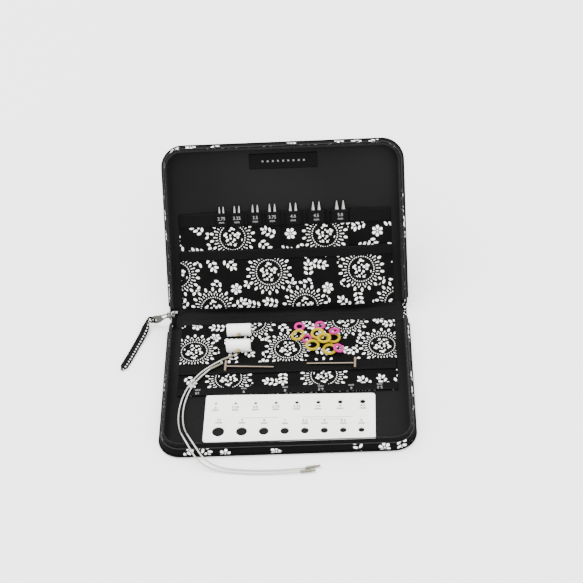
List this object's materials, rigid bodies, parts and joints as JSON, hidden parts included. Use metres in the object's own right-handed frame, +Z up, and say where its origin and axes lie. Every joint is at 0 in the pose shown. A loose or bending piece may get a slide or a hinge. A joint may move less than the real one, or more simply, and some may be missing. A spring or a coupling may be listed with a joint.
{
  "type": "interchangeable knitting needle set",
  "caption": "Zip-around fabric case, opened, with pockets of paired needle tips, two cables, a sizing gauge, end stoppers, tightening keys and ring stitch markers.",
  "frame": {"origin": "centre of the lower half's flat underside, on the table", "axes": "+X to the right of a person at the open case, +Y away from them towards the lid, +Z up from the table"},
  "size_m": [0.2461, 0.2661, 0.1208],
  "materials": {
    "printed_cloth": "matte",
    "lining_satin": "satin",
    "stiffener_board": "matte",
    "black_ribbon": "satin",
    "zip_coil": "satin",
    "needle_steel": "satin",
    "gauge_card": "satin",
    "stopper_white": "satin",
    "brass_boss": "satin",
    "key_wire": "satin",
    "marker_yellow": "gloss",
    "marker_pink": "gloss",
    "zip_metal": "satin",
    "ferrule_steel": "polished",
    "cable_coat": "gloss"
  },
  "bodies": {
    "lower_half": {"cable_a": "cable_coat", "cable_a_far_ferrule": "ferrule_steel", "cable_a_near_ferrule": "ferrule_steel", "cable_b": "cable_coat", "cable_b_far_ferrule": "ferrule_steel", "cable_b_near_ferrule": "ferrule_steel", "lower_channel_pocket": "printed_cloth", "lower_cover": "printed_cloth", "lower_front_pocket": "printed_cloth", "lower_gusset": "printed_cloth", "lower_label_band": "black_ribbon", "lower_lining": "lining_satin", "lower_lining_seam": "lining_satin", "lower_piping": "printed_cloth", "lower_pocket_binding": "black_ribbon", "lower_stiffener": "stiffener_board", "lower_zip_tape": "black_ribbon", "lower_zip_teeth": "zip_coil"},
    "spine": {"spine_cover": "printed_cloth", "spine_lining": "lining_satin", "spine_stiffener": "stiffener_board"},
    "upper_half": {"upper_channel_pocket": "printed_cloth", "upper_cover": "printed_cloth", "upper_front_pocket": "printed_cloth", "upper_gusset": "printed_cloth", "upper_label_band": "black_ribbon", "upper_lining": "lining_satin", "upper_lining_seam": "lining_satin", "upper_piping": "printed_cloth", "upper_pocket_binding": "black_ribbon", "upper_stiffener": "stiffener_board", "upper_zip_tape": "black_ribbon", "upper_zip_teeth": "zip_coil", "woven_label": "black_ribbon"},
    "tips_2_75": {"tip_2_75_left": "needle_steel", "tip_2_75_right": "needle_steel"},
    "tips_3_25": {"tip_3_25_left": "needle_steel", "tip_3_25_right": "needle_steel"},
    "tips_3_5": {"tip_3_5_left": "needle_steel", "tip_3_5_right": "needle_steel"},
    "tips_3_75": {"tip_3_75_left": "needle_steel", "tip_3_75_right": "needle_steel"},
    "tips_4_0": {"tip_4_0_left": "needle_steel", "tip_4_0_right": "needle_steel"},
    "tips_4_5": {"tip_4_5_left": "needle_steel", "tip_4_5_right": "needle_steel"},
    "tips_5_0": {"tip_5_0_left": "needle_steel", "tip_5_0_right": "needle_steel"},
    "gauge": {"needle_gauge": "gauge_card"},
    "stopper_back": {"stopper_back_bar": "stopper_white", "stopper_back_boss": "brass_boss"},
    "stopper_front": {"stopper_front_bar": "stopper_white", "stopper_front_boss": "brass_boss"},
    "key_left": {"key_left": "key_wire"},
    "key_right": {"key_right": "key_wire"},
    "ring_markers": {"markers_pink": "marker_pink", "markers_yellow": "marker_yellow"},
    "zip_slider": {"zip_slider": "zip_metal"},
    "zip_puller": {"zip_puller": "zip_metal"},
    "wrist_strap": {"wrist_strap": "black_ribbon"}
  },
  "joints": [
    {"name": "spine_fold", "type": "hinge", "parent": "lower_half", "child": "spine", "pos_m": [0, 0.07075, 0.004], "axis": [1, 0, 0], "range_deg": [0, 90]},
    {"name": "lid_fold", "type": "hinge", "parent": "spine", "child": "upper_half", "pos_m": [0, 0.08775, 0.004], "axis": [1, 0, 0], "range_deg": [-54, 32]},
    {"name": "tips_2_75_out", "type": "slide", "parent": "upper_half", "child": "tips_2_75", "axis": [0, -0.5878, -0.809], "range_m": [-0.025, 0]},
    {"name": "tips_3_25_out", "type": "slide", "parent": "upper_half", "child": "tips_3_25", "axis": [0, -0.5878, -0.809], "range_m": [-0.025, 0]},
    {"name": "tips_3_5_out", "type": "slide", "parent": "upper_half", "child": "tips_3_5", "axis": [0, -0.5878, -0.809], "range_m": [-0.025, 0]},
    {"name": "tips_3_75_out", "type": "slide", "parent": "upper_half", "child": "tips_3_75", "axis": [0, -0.5878, -0.809], "range_m": [-0.025, 0]},
    {"name": "tips_4_0_out", "type": "slide", "parent": "upper_half", "child": "tips_4_0", "axis": [0, -0.5878, -0.809], "range_m": [-0.025, 0]},
    {"name": "tips_4_5_out", "type": "slide", "parent": "upper_half", "child": "tips_4_5", "axis": [0, -0.5878, -0.809], "range_m": [-0.025, 0]},
    {"name": "tips_5_0_out", "type": "slide", "parent": "upper_half", "child": "tips_5_0", "axis": [0, -0.5878, -0.809], "range_m": [-0.025, 0]},
    {"name": "gauge_lift", "type": "slide", "parent": "lower_half", "child": "gauge", "axis": [0, 0, -1], "range_m": [-0.06, 0]},
    {"name": "stopper_back_lift", "type": "slide", "parent": "lower_half", "child": "stopper_back", "axis": [0, 0, -1], "range_m": [-0.06, 0]},
    {"name": "stopper_front_lift", "type": "slide", "parent": "lower_half", "child": "stopper_front", "axis": [0, 0, -1], "range_m": [-0.06, 0]},
    {"name": "key_left_lift", "type": "slide", "parent": "lower_half", "child": "key_left", "axis": [0, 0, -1], "range_m": [-0.06, 0]},
    {"name": "key_right_lift", "type": "slide", "parent": "lower_half", "child": "key_right", "axis": [0, 0, -1], "range_m": [-0.06, 0]},
    {"name": "ring_markers_lift", "type": "slide", "parent": "lower_half", "child": "ring_markers", "axis": [0, 0, -1], "range_m": [-0.06, 0]},
    {"name": "zip_slider_run", "type": "slide", "parent": "lower_half", "child": "zip_slider", "axis": [0, -1, 0], "range_m": [0, 0.095]},
    {"name": "zip_puller_swing", "type": "hinge", "parent": "zip_slider", "child": "zip_puller", "pos_m": [-0.10305, 0.0755, 0.012], "axis": [0, 1, 0], "range_deg": [0, 80]},
    {"name": "wrist_strap_swing", "type": "hinge", "parent": "zip_puller", "child": "wrist_strap", "pos_m": [-0.11445, 0.07687, 0.00568], "axis": [0, 0, 1], "range_deg": [-20, 20]}
  ]
}
